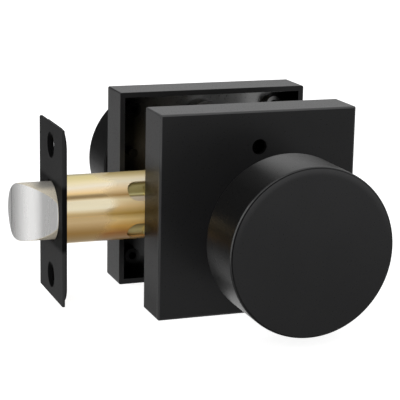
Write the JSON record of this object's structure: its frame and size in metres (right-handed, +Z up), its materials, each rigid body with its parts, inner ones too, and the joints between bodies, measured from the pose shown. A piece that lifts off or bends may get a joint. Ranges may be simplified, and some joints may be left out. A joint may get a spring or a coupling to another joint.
{
  "type": "privacy door knob",
  "caption": "Privacy door knob set: flat round knobs on square rosettes joined by a square spindle, a tubular spring latch, a push button lock inside and a release hole outside.",
  "frame": {"origin": "on the spindle axis, in the plane where the exterior rosette's rim meets the door", "axes": "+X away from the door's edge along the latch, +Y along the spindle towards the interior side, +Z up"},
  "size_m": [0.1055, 0.1475, 0.066],
  "materials": {
    "black_coat": "satin black powder coat",
    "black_plate": "dull black plating",
    "yellow_zinc": "bright yellow zinc plating",
    "satin_bolt": "satin nickel plating",
    "plated_steel": "clear zinc plating",
    "spring_steel": "drawn spring wire",
    "nylon": "moulded black nylon"
  },
  "bodies": {
    "chassis": {"exterior_rosette": "black_coat", "interior_rosette": "black_coat", "exterior_neck_washer": "nylon", "interior_neck_washer": "nylon", "exterior_bush": "nylon", "interior_bush": "nylon", "exterior_return_spring": "spring_steel", "interior_return_spring": "spring_steel", "screw_posts": "plated_steel", "through_screws": "black_coat", "detent_ring": "spring_steel", "latch_faceplate": "black_plate", "latch_backing_plate": "black_plate", "latch_tube": "yellow_zinc", "bolt_guide": "nylon", "spring_seat": "plated_steel", "bolt_spring": "spring_steel"},
    "knobs": {"exterior_knob": "black_coat", "interior_knob": "black_coat", "spindle": "plated_steel", "spindle_pin": "plated_steel", "set_screw": "black_coat", "exterior_cam": "plated_steel", "interior_cam": "plated_steel", "exterior_retaining_ring": "spring_steel", "interior_retaining_ring": "spring_steel", "latch_hub": "plated_steel"},
    "bolt": {"latch_bolt": "satin_bolt", "bolt_tail": "plated_steel", "tail_rivets": "plated_steel"},
    "button": {"privacy_button": "black_coat", "privacy_pin": "plated_steel"}
  },
  "joints": [
    {"name": "knob_turn", "type": "hinge", "parent": "chassis", "child": "knobs", "pos_m": [0, 0, 0], "axis": [0, 1, 0], "range_deg": [0, 74], "stiffness_Nm_per_rad": 0.25, "springref_deg": -22.92, "deforming": ["exterior_return_spring", "interior_return_spring"]},
    {"name": "bolt_slide", "type": "slide", "parent": "chassis", "child": "bolt", "axis": [1, 0, 0], "range_m": [0, 0.01184], "stiffness_N_per_m": 150, "springref_m": -0.02, "deforming": ["bolt_spring"]},
    {"name": "button_push", "type": "slide", "parent": "chassis", "child": "button", "axis": [0, -1, 0], "range_m": [0, 0.003]}
  ],
  "couplings": [
    {"joint": "bolt_slide", "follows": "knob_turn", "m_per_rad": 0.0091493}
  ]
}
